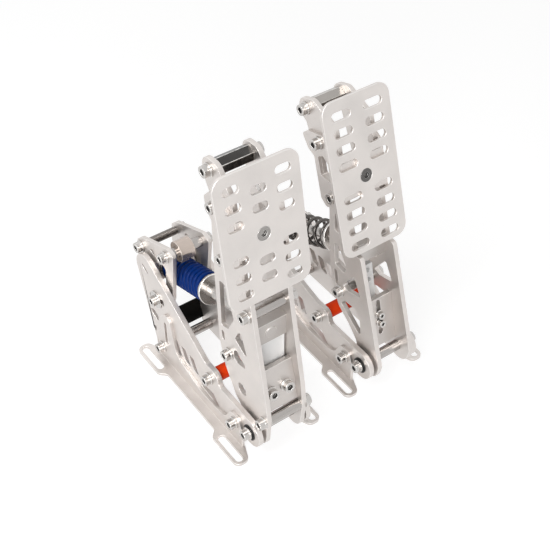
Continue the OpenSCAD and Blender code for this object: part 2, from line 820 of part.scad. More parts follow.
function throttle_arm_cuts() = [
    [[14.7, 70, 2], [32, 65.5, 2], [40, 68, 2], [25.6, 88, 2]],
    [[41, 44, 3], [36, 50, 3], [20, 51.5, 4], [14, 46, 4], [11, 27, 1.5], [14, 25.5, 1.5]],
    [[46, 61.7, 1.2], [50, 62, 1.2], [53.4, 78, 1.2], [49, 78, 1.2]],
    [[38.7, 82, 3], [52, 84, 3], [55, 108, 2.5], [49, 108, 2], [36, 91, 3]],
    [[40, 122, 3], [55, 122, 3], [57, 142, 5], [45, 142, 4]],
    throttle_flange_cut()
];
module arm(side, outline, cuts, bolts) {
    color(satin_steel)
        on_side(side)
            difference() {
                union() {
                    plate(outline, arm_in, arm_t);
                    cross_pin(pivot, boss_d, arm_out, frame_in - end_gap);
                }
                cut_pin(pivot, axle_d + 2 * thread_gap, arm_in, frame_in);
                for (at = bolts)
                    cut_pin(at, bolt_d + 2 * bolt_clearance, arm_in, arm_out);
                for (cut = cuts)
                    cut_plate(cut, arm_in, arm_t);
            }
}
module pivot_axle() {
    color(bright_steel) cross_rod(pivot, axle_d, axle_end);
}
module arm_rods(places) {
    color(bright_steel)
        for (at = places)
            cross_rod(at, rod_d, arm_in);
}
module top_spacer(at, tint) {
    color(tint)
        difference() {
            translate([-arm_in, at[0], at[1]])
                rotate([0, 90, 0])
                    cylinder(d = hex_af / cos(30), h = arm_gap, $fn = 6);
            for (side = [-1, 1])
                on_side(side)
                    cross_pin(at, bolt_d + 2 * thread_gap, arm_in - thread_l, arm_in + 1);
        }
}
module arm_bolts(rods, flange_bolts) {
    color(bright_steel) {
        bolt_pair(pivot, axle_end, thread_l - 1, washer_d);
        for (at = rods)
            bolt_pair(at, arm_out, grip_to(arm_out, arm_in), washer_d);
        for (at = flange_bolts)
            bolt_pair(at, flange_out, bracket_t + arm_t, washer_d);
    }
}

// Pieces between the arm plates
plate_t = 5.5;
cell_front = 7;
cell_rear = 32;
cell_plug_d = 11;
cell_plug_t = 1;
// Body of the load cell below its head, and the foot that the plate is screwed to
cell_body_w = 29.2;
cell_body_t = 14;
cell_body_floor = 40;
cell_step = 0.8;
cell_foot_w = 26;
cell_foot_t = 13;
cell_foot_low = 34;
cell_foot_h = 26;
module load_cell() {
    head_low = brake_nose[1] - cell_h / 2;
    color(pale_block)
        difference() {
            union() {
                translate([-arm_in, cell_front, head_low])
                    cube([arm_gap, cell_rear - cell_front, cell_h]);
                translate([0, cell_front - cell_plug_t, brake_nose[1]])
                    rotate([-90, 0, 0])
                        cylinder(d = cell_plug_d, h = cell_plug_t + 1);
                translate([-cell_body_w / 2, cell_front + cell_step, cell_body_floor])
                    cube([cell_body_w, cell_body_t, head_low + 1 - cell_body_floor]);
                on_face(cell_plate_at, cell_plate_lean)
                    translate([-cell_foot_w / 2, plate_t, -cell_foot_low])
                        cube([cell_foot_w, cell_foot_t, cell_foot_h]);
            }
            nose_socket(brake_nose, brake_slope);
        }
}
module nose_socket(nose, slope) {
    on_line(nose, slope)
        translate([0, 0, -nose_d / 2 - nose_gap])
            cylinder(d = nose_d + 2 * nose_room, h = nose_d + nose_l);
}
cell_plate_at = [-0.4, 69.4];
cell_plate_lean = 13.8;
cell_plate_h = 43;
cell_plate_down = 24;
cell_plate_bolts = [-9.5, 6.5];
module cell_plate() {
    color(satin_steel)
        on_face(cell_plate_at, cell_plate_lean)
            difference() {
                translate([-arm_in, 0, -cell_plate_h]) cube([arm_gap, plate_t, cell_plate_h]);
                for (x = cell_plate_bolts)
                    translate([x, -1, -cell_plate_down])
                        rotate([-90, 0, 0])
                            cylinder(d = bolt_d + 2 * thread_gap, h = plate_t + 2);
            }
}
module cell_screws() {
    color(bright_steel)
        on_face(cell_plate_at, cell_plate_lean)
            for (x = cell_plate_bolts)
                translate([x, 0, -cell_plate_down])
                    rotate([0, 0, -90])
                        cap_screw(plate_t, washer_d);
}
block_ahead = 11;
block_behind = 2;
block_low = 9.8;
block_high = 13;
module push_block() {
    color(bright_steel)
        difference() {
            translate([-arm_in, throttle_nose[0] - block_ahead, throttle_nose[1] - block_low])
                cube([arm_gap, block_ahead + block_behind, block_low + block_high]);
            nose_socket(throttle_nose, throttle_slope);
        }
}
sensor_plate_at = [14.6, 58.5];
sensor_plate_lean = 13.8;
sensor_plate_h = 51;
sensor_slot_w = small_d + 0.6;
sensor_slot_l = 37;
sensor_slot_top = -2;
sensor_screws_at = [-17.5, -26.5];
module sensor_plate() {
    slot_high = sensor_slot_top - sensor_slot_w / 2;
    slot_low = sensor_slot_top - sensor_slot_l + sensor_slot_w / 2;
    color(satin_steel)
        on_face(sensor_plate_at, sensor_plate_lean)
            difference() {
                translate([-arm_in, 0, -sensor_plate_h]) cube([arm_gap, plate_t, sensor_plate_h]);
                for (z = [slot_high, slot_low])
                    translate([0, -1, z])
                        rotate([-90, 0, 0])
                            cylinder(d = sensor_slot_w, h = plate_t + 2);
                translate([-sensor_slot_w / 2, -1, slot_low])
                    cube([sensor_slot_w, plate_t + 2, slot_high - slot_low]);
            }
}
module sensor_screws() {
    color(bright_steel)
        on_face(sensor_plate_at, sensor_plate_lean)
            for (z = sensor_screws_at)
                translate([0, 0, z])
                    rotate([0, 0, -90])
                        small_screw(plate_t);
}
beam_w = 11.6;
beam_front = 10.1;
beam_t = 10;
beam_above = 32;
beam_below = 32;
beam_foot_h = 19;
beam_hole_d = 5;
module sensor_beam() {
    color(pale_block)
        on_face(sensor_plate_at, sensor_plate_lean)
            difference() {
                union() {
                    translate([-beam_w / 2, beam_front, -beam_below])
                        cube([beam_w, beam_t, beam_below + beam_above]);
                    translate([-beam_w / 2, plate_t, -beam_below])
                        cube([beam_w, beam_front - plate_t + 1, beam_foot_h]);
                }
                for (z = [beam_above - 6, beam_above - 16])
                    translate([0, beam_front - 1, z])
                        rotate([-90, 0, 0])
                            cylinder(d = beam_hole_d, h = beam_t + 2);
            }
}

// Face brackets and face plates
// The flanges start just behind the web's front, and the web ends inside them
flange_front = face_t + 0.4;
web_out = flange_out - bracket_t / 2;
function brake_flange() = [
    tagged(brake_front(flange_front, -36), 2),
    tagged(brake_front(flange_front, 20), 2),
    [46, 231, 6],
    [55, 230, 3],
    [62, 222, 3],
    [60, 211, 4],
    [46, 196, 8],
    [46, 172, 6],
    [36, 166, 5]
];
function throttle_flange() = [
    tagged(throttle_front(flange_front, -26), 2),
    tagged(throttle_front(flange_front, 24), 2),
    [70.4, 214, 4],
    [94, 207.5, 4],
    [101, 201, 3],
    [92, 190, 3],
    [83.8, 187, 4],
    [72, 149, 4],
    [64, 144, 4]
];
function throttle_flange_cut() = [[57, 172, 3], [73.5, 173, 3], [78.5, 189, 3], [72, 194, 3], [61.5, 187, 3]];
function brake_flange_cut() = [[28, 186, 2.5], [38, 188, 2.5], [47, 208, 3], [33, 210, 3]];
brake_flange_bolts = [[46, 222], [35, 177]];
throttle_flange_bolts = [[78, 204], [53.6, 162]];
web_half = 17;
module face_bracket(at, lean, outline, cut, bolts) {
    color(satin_steel)
        difference() {
            union() {
                for (side = [-1, 1])
                    on_side(side)
                        plate(outline, arm_out, bracket_t);
                on_face(at, lean)
                    translate([-web_out, face_t, -web_half])
                        cube([2 * web_out, bracket_t, 2 * web_half]);
            }
            for (side = [-1, 1])
                on_side(side) {
                    cut_plate(cut, arm_out, bracket_t);
                    for (p = bolts)
                        cut_pin(p, bolt_d + 2 * thread_gap, arm_out, flange_out);
                }
            on_face(at, lean)
                rotate([-90, 0, 0])
                    cylinder(d = bolt_d + 2 * thread_gap, h = arm_setback + 1);
        }
}
module face_slot(x, z, length) {
    run = length - face_slot_w;
    translate([x, z]) {
        for (end = [-1, 1])
            translate([end * run / 2, 0]) circle(d = face_slot_w);
        square([run, face_slot_w], center = true);
    }
}
function face_outline(w, up, down) = [
    [-w / 2, -down, face_corner],
    [w / 2, -down, face_corner],
    [w / 2, up, face_corner],
    [-w / 2, up, face_corner]
];
module face_plate(at, lean, w, up, down, slots, length) {
    color(satin_steel)
        on_face(at, lean)
            translate([0, face_t, 0])
                rotate([90, 0, 0])
                    difference() {
                        linear_extrude(face_t)
                            difference() {
                                polygon(rounded(face_outline(w, up, down)));
                                for (p = slots)
                                    face_slot(p[0], p[1], length);
                            }
                        translate([0, 0, -1]) cylinder(d = face_screw_d + 2 * thread_gap, h = face_t + 2);
                    }
}
function brake_slots() = concat(
    [
        for (side = [-1, 1], row = [-3, -2, -1, 1, 2, 3])
            [side * brake_column, row * brake_row]
    ],
    [for (row = [-2.5, -1.5, 1.5, 2.5]) [0, row * brake_row]]
);
function throttle_slots() = [
    for (side = [-1, 1], row = [-4, -3, -2, -1, 1, 2, 3, 4])
        [side * throttle_column, row * throttle_row]
];
module face_screw(at, lean, tint) {
    color(tint)
        on_face(at, lean)
            rotate([-90, 0, 0])
                difference() {
                    union() {
                        cylinder(d = face_screw_d, h = face_t);
                        cylinder(d = bolt_d, h = arm_setback + 2);
                    }
                    translate([0, 0, -1])
                        cylinder(d = socket_af / cos(30), h = 1 + socket_share * face_t, $fn = 6);
                }
}

// Pieces of the brake pedal
brake_rods = [lower_rod_at, brake_mid_at, brake_upper_at];
brake_arm_holes = concat(brake_rods, [brake_top_at], brake_flange_bolts);
module brake_foot_left() { place_brake() foot(-1); }
module brake_foot_right() { place_brake() foot(1); }
module brake_frame_left() { place_brake() frame(-1, frame_top, row_front, -1); }
module brake_frame_right() { place_brake() frame(1, frame_top, row_front, -1); }
module brake_frame_bolts() {
    place_brake() {
        frame_bolts(clamp_at, frame_out - carrier_in);
        carrier_bolts();
    }
}
module brake_pivot_bushes() { place_brake() pivot_bushes(); }
module brake_frame_rods() { place_brake() frame_rods(); }
module brake_stop_sleeve() { place_brake() stop_sleeve(); }
module brake_carrier_left() { place_brake() carrier(-1); }
module brake_carrier_right() { place_brake() carrier(1); }
module brake_back_rod() { place_brake() back_rod(); }
module brake_top_rod() { place_brake() top_rod(); }
module brake_rod_eye() { place_brake() rod_eye(); }
module brake_rear_seat() { place_brake() rear_seat(brake_nose, brake_slope, brake_seat_at); }
module brake_rear_panel() { place_brake() rear_panel(); }
module brake_push_rod() {
    place_brake() push_rod(brake_nose, brake_slope, brake_disc_at, brake_seat_at);
}
module brake_spring_disc() { place_brake() spring_disc(brake_nose, brake_slope, brake_disc_at); }
module brake_spring() {
    color(blue_wire)
        place_brake()
            spring(brake_nose, brake_slope, brake_disc_at, brake_spring_l, brake_wire, brake_curls);
}
module brake_arm_left() { place_brake() arm(-1, brake_arm_outline(), brake_arm_cuts(), brake_arm_holes); }
module brake_arm_right() { place_brake() arm(1, brake_arm_outline(), brake_arm_cuts(), brake_arm_holes); }
module brake_pivot_axle() { place_brake() pivot_axle(); }
module brake_arm_rods() { place_brake() arm_rods(brake_rods); }
module brake_top_spacer() { place_brake() top_spacer(brake_top_at, dark_steel); }
module brake_arm_bolts() {
    place_brake() {
        arm_bolts(concat(brake_rods, [brake_top_at]), brake_flange_bolts);
        cell_screws();
    }
}
module brake_load_cell() { place_brake() load_cell(); }
module brake_cell_plate() { place_brake() cell_plate(); }
module brake_face_bracket() {
    place_brake()
        face_bracket(brake_face_at, brake_lean, brake_flange(), brake_flange_cut(), brake_flange_bolts);
}
module brake_face_plate() {
    place_brake()
        face_plate(
            brake_face_at,
            brake_lean,
            brake_face_w,
            brake_face_up,
            brake_face_down,
            brake_slots(),
            brake_slot_l
        );
}
module brake_face_screw() { place_brake() face_screw(brake_face_at, brake_lean, bright_steel); }

// Pieces of the throttle pedal
throttle_rods = [throttle_mid_at];
throttle_arm_holes = concat(throttle_rods, [throttle_top_at], throttle_flange_bolts);
module throttle_foot_left() { place_throttle() foot(-1); }
module throttle_foot_right() { place_throttle() foot(1); }
module throttle_frame_left() { place_throttle() frame(-1, throttle_frame_top, row_front, 0.5); }
module throttle_frame_right() { place_throttle() frame(1, throttle_frame_top, row_back, 0.5); }
module throttle_frame_bolts() {
    place_throttle() frame_bolts(throttle_clamp_at, grip_to(frame_out, frame_in - seat_side_gap));
}
module throttle_pivot_bushes() { place_throttle() pivot_bushes(); }
module throttle_frame_rods() { place_throttle() frame_rods(); }
module throttle_stop_sleeve() { place_throttle() stop_sleeve(); }
module throttle_rear_seat() {
    place_throttle() clamped_seat(throttle_nose, throttle_slope, throttle_seat_at, throttle_clamp_drop);
}
module throttle_push_rod() {
    place_throttle()
        push_rod(throttle_nose, throttle_slope, throttle_disc_at, throttle_seat_at);
}
module throttle_spring_disc() {
    place_throttle() spring_disc(throttle_nose, throttle_slope, throttle_disc_at);
}
module throttle_spring() {
    color(chrome_wire)
        place_throttle()
            spring(
                throttle_nose,
                throttle_slope,
                throttle_disc_at,
                throttle_spring_l,
                throttle_wire,
                throttle_curls
            );
}
module throttle_arm_left() {
    place_throttle() arm(-1, throttle_arm_outline(), throttle_arm_cuts(), throttle_arm_holes);
}
module throttle_arm_right() {
    place_throttle() arm(1, throttle_arm_outline(), throttle_arm_cuts(), throttle_arm_holes);
}
module throttle_pivot_axle() { place_throttle() pivot_axle(); }
module throttle_arm_rods() { place_throttle() arm_rods(throttle_rods); }
module throttle_top_spacer() { place_throttle() top_spacer(throttle_top_at, bright_steel); }
module throttle_arm_bolts() {
    place_throttle() {
        arm_bolts(concat(throttle_rods, [throttle_top_at]), throttle_flange_bolts);
        sensor_screws();
    }
}
module throttle_push_block() { place_throttle() push_block(); }
module throttle_sensor_beam() { place_throttle() sensor_beam(); }
module throttle_sensor_plate() { place_throttle() sensor_plate(); }
module throttle_face_bracket() {
    place_throttle()
        face_bracket(
            throttle_face_at,
            throttle_lean,
            throttle_flange(),
            throttle_flange_cut(),
            throttle_flange_bolts
        );
}
module throttle_face_plate() {
    place_throttle()
        face_plate(
            throttle_face_at,
            throttle_lean,
            throttle_face_w,
            throttle_face_up,
            throttle_face_down,
            throttle_slots(),
            throttle_slot_l
        );
}
module throttle_face_screw() { place_throttle() face_screw(throttle_face_at, throttle_lean, dark_steel); }

brake_foot_left();
brake_foot_right();
brake_frame_left();
brake_frame_right();
brake_frame_bolts();
brake_pivot_bushes();
brake_frame_rods();
brake_stop_sleeve();
brake_carrier_left();
brake_carrier_right();
brake_back_rod();
brake_top_rod();
brake_rod_eye();
brake_rear_seat();
brake_rear_panel();
brake_push_rod();
brake_spring_disc();
brake_spring();
brake_arm_left();
brake_arm_right();
brake_pivot_axle();
brake_arm_rods();
brake_top_spacer();
brake_arm_bolts();
brake_load_cell();
brake_cell_plate();
brake_face_bracket();
brake_face_plate();
brake_face_screw();
throttle_foot_left();
throttle_foot_right();
throttle_frame_left();
throttle_frame_right();
throttle_frame_bolts();
throttle_pivot_bushes();
throttle_frame_rods();
throttle_stop_sleeve();
throttle_rear_seat();
throttle_push_rod();
throttle_spring_disc();
throttle_spring();
throttle_arm_left();
throttle_arm_right();
throttle_pivot_axle();
throttle_arm_rods();
throttle_top_spacer();
throttle_arm_bolts();
throttle_push_block();
throttle_sensor_beam();
throttle_sensor_plate();
throttle_face_bracket();
throttle_face_plate();
throttle_face_screw();
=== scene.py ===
"""Looks of a two-pedal driving set: the brake on the left and the throttle on the right."""

from __future__ import annotations

import json
import logging
import math
from collections.abc import Iterable
from dataclasses import dataclass, field
from enum import Enum

import bmesh
import bpy
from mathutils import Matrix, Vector
from mathutils.bvhtree import BVHTree

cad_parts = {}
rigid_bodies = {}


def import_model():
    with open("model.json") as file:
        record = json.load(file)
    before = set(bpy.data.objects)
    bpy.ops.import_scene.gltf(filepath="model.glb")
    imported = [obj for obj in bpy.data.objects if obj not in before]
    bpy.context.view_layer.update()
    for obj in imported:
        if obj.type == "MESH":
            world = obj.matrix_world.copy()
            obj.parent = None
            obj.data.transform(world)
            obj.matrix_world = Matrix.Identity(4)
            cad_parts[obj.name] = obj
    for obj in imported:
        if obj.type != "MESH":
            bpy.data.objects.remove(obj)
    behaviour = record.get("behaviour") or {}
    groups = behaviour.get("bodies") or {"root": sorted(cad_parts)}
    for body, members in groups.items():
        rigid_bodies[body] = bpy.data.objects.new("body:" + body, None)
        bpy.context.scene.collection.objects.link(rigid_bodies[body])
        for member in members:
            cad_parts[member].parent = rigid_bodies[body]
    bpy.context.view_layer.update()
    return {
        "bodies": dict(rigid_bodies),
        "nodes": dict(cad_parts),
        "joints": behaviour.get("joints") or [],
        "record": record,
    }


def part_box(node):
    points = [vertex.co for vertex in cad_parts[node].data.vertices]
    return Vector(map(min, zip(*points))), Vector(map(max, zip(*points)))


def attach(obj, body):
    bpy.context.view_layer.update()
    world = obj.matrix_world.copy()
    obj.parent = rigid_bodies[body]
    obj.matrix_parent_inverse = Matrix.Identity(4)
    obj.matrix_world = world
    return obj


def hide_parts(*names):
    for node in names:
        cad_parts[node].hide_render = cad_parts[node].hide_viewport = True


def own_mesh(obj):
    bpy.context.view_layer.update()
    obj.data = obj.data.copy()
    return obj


LOG = logging.getLogger("pedal_set")
MM = 0.001
RIM_LAYER = "rim"
# Face attribute that marks socket faces for painted shade.
PAINTED_SHADE_LAYER = "painted_socket_shade"
Colour = tuple[float, float, float]


class Pedal(Enum):
    """The two pedals, by the first word of their nodes' names."""

    BRAKE = "brake"
    THROTTLE = "throttle"

    def node(self, piece: str) -> str:
        """Full name of one of this pedal's nodes."""
        return f"{self.value}_{piece}"


class Lines(Enum):
    """Directions that tool marks run across."""

    NONE = (0.0, 0.0, 0.0)
    ACROSS = (1.0, 0.0, 0.0)
    UPRIGHT = (0.0, 0.0, 1.0)
    SPRING = (0.0, 0.92, -0.39)


class Graph:
    """A hand for wiring one node tree."""

    def __init__(self, tree: bpy.types.NodeTree) -> None:
        """Keep the tree and empty it.

        Args:
            tree: the node tree of a material, a group or the world.
        """
        self.tree = tree
        self.tree.nodes.clear()

    def add(self, kind: str, **settings: object) -> bpy.types.Node:
        """Add a node.

        Args:
            kind: the node's type name.
            settings: properties of the node to set.

        Returns:
            The new node.
        """
        node = self.tree.nodes.new(kind)
        for key, value in settings.items():
            setattr(node, key, value)
        return node

    def join(self, source: bpy.types.NodeSocket, target: bpy.types.NodeSocket) -> None:
        """Link an output to an input."""
        self.tree.links.new(source, target)

    def maths(self, operation: str, first: object, second: object) -> bpy.types.NodeSocket:
        """Add a Math node.

        Args:
            operation: the node's operation.
            first: a socket to link or a number to set.
            second: a socket to link or a number to set.

        Returns:
            The node's output.
        """
        node = self.add("ShaderNodeMath", operation=operation)
        for socket, value in zip(node.inputs, (first, second)):
            if isinstance(value, bpy.types.NodeSocket):
                self.join(value, socket)
            else:
                socket.default_value = value
        return node.outputs[0]

    def spread(
        self, value: bpy.types.NodeSocket, low: object, high: object, start: float = 0.3, end: float = 0.7
    ) -> bpy.types.NodeSocket:
        """Stretch a value to a range.

        Args:
            value: the socket to stretch.
            low: lowest result, a socket or a number.
            high: highest result, a socket or a number.
            start: value that gives the lowest result.
            end: value that gives the highest result.

        Returns:
            The stretched value.
        """
        node = self.add("ShaderNodeMapRange")
        self.join(value, node.inputs["Value"])
        node.inputs["From Min"].default_value = start
        node.inputs["From Max"].default_value = end
        for name, bound in (("To Min", low), ("To Max", high)):
            if isinstance(bound, bpy.types.NodeSocket):
                self.join(bound, node.inputs[name])
            else:
                node.inputs[name].default_value = bound
        return node.outputs["Result"]

    def tint(
        self, blend: str, share: bpy.types.NodeSocket, first: bpy.types.NodeSocket, second: object
    ) -> bpy.types.NodeSocket:
        """Mix two colours.

        Args:
            blend: the mix's blend type.
            share: how much of the second colour shows.
            first: the colour below.
            second: the colour above, a socket or a colour.

        Returns:
            The mixed colour.
        """
        node = self.add("ShaderNodeMix", data_type="RGBA", blend_type=blend)
        self.join(share, node.inputs[0])
        self.join(first, node.inputs[6])
        if isinstance(second, bpy.types.NodeSocket):
            self.join(second, node.inputs[7])
        else:
            node.inputs[7].default_value = second
        return node.outputs[2]

    def noise(self, place: bpy.types.NodeSocket, scale: object, detail: float) -> bpy.types.NodeSocket:
        """Add a noise.

        Args:
            place: the coordinates.
            scale: a socket or a number.
            detail: how many finer layers the noise has.

        Returns:
            The noise's value.
        """
        node = self.add("ShaderNodeTexNoise")
        node.inputs["Detail"].default_value = detail
        self.join(place, node.inputs["Vector"])
        if isinstance(scale, bpy.types.NodeSocket):
            self.join(scale, node.inputs["Scale"])
        else:
            node.inputs["Scale"].default_value = scale
        return node.outputs["Fac"]


class SurfaceGroup:
    """A shader node group that several finishes share."""

    name = "surface"
    inputs: tuple[tuple[str, str], ...] = ()
    outputs: tuple[tuple[str, str], ...] = ()

    @classmethod
    def tree(cls) -> bpy.types.NodeTree:
        """Make the group once.

        Returns:
            The group's node tree.
        """
        made = bpy.data.node_groups.get(cls.name)
        if made is None:
            made = bpy.data.node_groups.new(cls.name, "ShaderNodeTree")
            for side, sockets in (("INPUT", cls.inputs), ("OUTPUT", cls.outputs)):
                for label, kind in sockets:
                    made.interface.new_socket(name=label, in_out=side, socket_type=kind)
            graph = Graph(made)
            cls.wire(graph, graph.add("NodeGroupInput").outputs, graph.add("NodeGroupOutput").inputs)
        return made

    @classmethod
    def wire(cls, graph: Graph, given: bpy.types.NodeOutputs, result: bpy.types.NodeInputs) -> None:
        """Fill the group's inside; each effect has its own."""
        raise NotImplementedError

    @classmethod
    def place(cls, graph: Graph, **values: object) -> bpy.types.NodeOutputs:
        """Put the group in a material.

        Args:
            graph: the material's graph.
            values: inputs by name with underscores for spaces; a socket is linked and a value is set.

        Returns:
            The group's outputs.
        """
        node = graph.add("ShaderNodeGroup", node_tree=cls.tree())
        for key, value in values.items():
            socket = node.inputs[key.replace("_", " ")]
            if isinstance(value, bpy.types.NodeSocket):
                graph.join(value, socket)
            else:
                socket.default_value = value
        return node.outputs


COLOUR_SOCKET = "NodeSocketColor"
NUMBER_SOCKET = "NodeSocketFloat"
VECTOR_SOCKET = "NodeSocketVector"


class BlastedGrain(SurfaceGroup):
    """Fine blasted or cast grain with faint cloudy tone."""

    name = "blasted_grain"
    inputs = (
        ("Color", COLOUR_SOCKET),
        ("Scale", NUMBER_SOCKET),
        ("Mottle", NUMBER_SOCKET),
        ("Smooth", NUMBER_SOCKET),
        ("Rough", NUMBER_SOCKET),
    )
    outputs = (("Color", COLOUR_SOCKET), ("Roughness", NUMBER_SOCKET), ("Height", NUMBER_SOCKET))

    @classmethod
    def wire(cls, graph: Graph, given: bpy.types.NodeOutputs, result: bpy.types.NodeInputs) -> None:
        """Two noises, one for grain and one for cloudy tone."""
        place = graph.add("ShaderNodeTexCoord").outputs["Object"]
        grain = graph.noise(place, given["Scale"], 3.0)
        cloud = graph.noise(place, 38.0, 4.0)
        both = graph.maths("ADD", graph.maths("MULTIPLY", cloud, 0.7), graph.maths("MULTIPLY", grain, 0.3))
        tone = graph.spread(both, 0.72, 1.0, 0.36, 0.6)
        graph.join(graph.tint("MULTIPLY", given["Mottle"], given["Color"], tone), result["Color"])
        graph.join(graph.spread(both, given["Smooth"], given["Rough"], 0.38, 0.62), result["Roughness"])
        graph.join(grain, result["Height"])


class ToolMarks(SurfaceGroup):
    """Fine turned or drawn lines across one direction."""

    name = "tool_marks"
    inputs = (("Direction", VECTOR_SOCKET), ("Pitch", NUMBER_SOCKET), ("Waver", NUMBER_SOCKET))
    outputs = (("Mask", NUMBER_SOCKET),)

    @classmethod
    def wire(cls, graph: Graph, given: bpy.types.NodeOutputs, result: bpy.types.NodeInputs) -> None:
        """A sine along the direction, shaken by noise."""
        place = graph.add("ShaderNodeTexCoord").outputs["Object"]
        along = graph.add("ShaderNodeVectorMath", operation="DOT_PRODUCT")
        graph.join(place, along.inputs[0])
        graph.join(given["Direction"], along.inputs[1])
        phase = graph.maths("MULTIPLY", along.outputs["Value"], given["Pitch"])
        shake = graph.maths("MULTIPLY", graph.noise(place, 130.0, 2.0), given["Waver"])
        wave = graph.maths("SINE", graph.maths("ADD", phase, shake), 0.0)
        graph.join(graph.spread(wave, 0.0, 1.0, -1.0, 1.0), result["Mask"])


class EdgeWearAndHighlight(SurfaceGroup):
    """Brighter, smoother metal along the broken edges of a piece: partly wear, partly painted highlight where
    light catches the edges.
    """

    name = "edge_wear_and_highlight"
    inputs = (
        ("Color", COLOUR_SOCKET),
        ("Roughness", NUMBER_SOCKET),
        ("Worn Color", COLOUR_SOCKET),
        ("Worn Roughness", NUMBER_SOCKET),
        ("Amount", NUMBER_SOCKET),
    )
    outputs = (("Color", COLOUR_SOCKET), ("Roughness", NUMBER_SOCKET))

    @classmethod
    def wire(cls, graph: Graph, given: bpy.types.NodeOutputs, result: bpy.types.NodeInputs) -> None:
        """The rim faces of the mesh, broken up by noise, brightened as wear and painted highlight."""
        place = graph.add("ShaderNodeTexCoord").outputs["Object"]
        rim = graph.add("ShaderNodeAttribute", attribute_name=RIM_LAYER).outputs["Fac"]
        broken = graph.spread(graph.noise(place, 210.0, 3.0), 0.35, 1.0, 0.35, 0.55)
        mask = graph.maths("MULTIPLY", graph.maths("MULTIPLY", rim, broken), given["Amount"])
        graph.join(graph.tint("MIX", mask, given["Color"], given["Worn Color"]), result["Color"])
        roughness = graph.spread(mask, given["Roughness"], given["Worn Roughness"], 0.0, 1.0)
        graph.join(roughness, result["Roughness"])


class SocketPaintedShade(SurfaceGroup):
    """Painted shade: dark, dull metal painted deep in the sockets of the screws and on faces close to their
    own piece, where shade falls.
    """

    name = "socket_painted_shade"
    inputs = (("Color", COLOUR_SOCKET), ("Roughness", NUMBER_SOCKET), ("Amount", NUMBER_SOCKET))
    outputs = (("Color", COLOUR_SOCKET), ("Roughness", NUMBER_SOCKET))

    @classmethod
    def wire(cls, graph: Graph, given: bpy.types.NodeOutputs, result: bpy.types.NodeInputs) -> None:
        """Painted shade on the faces marked deep in sockets, times the amount."""
        painted_socket_shade = graph.add("ShaderNodeAttribute", attribute_name=PAINTED_SHADE_LAYER).outputs["Fac"]
        mask = graph.maths("MULTIPLY", painted_socket_shade, given["Amount"])
        graph.join(graph.tint("MIX", mask, given["Color"], (0.015, 0.014, 0.013, 1.0)), result["Color"])
        graph.join(graph.spread(mask, given["Roughness"], 0.65, 0.0, 1.0), result["Roughness"])


class ShopDust(SurfaceGroup):
    """A thin pale film on faces that look up."""

    name = "shop_dust"
    inputs = (("Color", COLOUR_SOCKET), ("Roughness", NUMBER_SOCKET), ("Amount", NUMBER_SOCKET))
    outputs = (("Color", COLOUR_SOCKET), ("Roughness", NUMBER_SOCKET))

    @classmethod
    def wire(cls, graph: Graph, given: bpy.types.NodeOutputs, result: bpy.types.NodeInputs) -> None:
        """Upward faces times a patchy noise."""
        place = graph.add("ShaderNodeTexCoord").outputs["Object"]
        normal = graph.add("ShaderNodeSeparateXYZ")
        graph.join(graph.add("ShaderNodeNewGeometry").outputs["Normal"], normal.inputs[0])
        upward = graph.spread(normal.outputs["Z"], 0.0, 1.0, 0.1, 1.0)
        patches = graph.spread(graph.noise(place, 75.0, 5.0), 0.0, 1.0, 0.42, 0.68)
        mask = graph.maths("MULTIPLY", graph.maths("MULTIPLY", upward, patches), given["Amount"])
        film = (0.62, 0.61, 0.6, 1.0)
        graph.join(graph.tint("MIX", mask, given["Color"], film), result["Color"])
        graph.join(graph.spread(mask, given["Roughness"], 0.75, 0.0, 1.0), result["Roughness"])


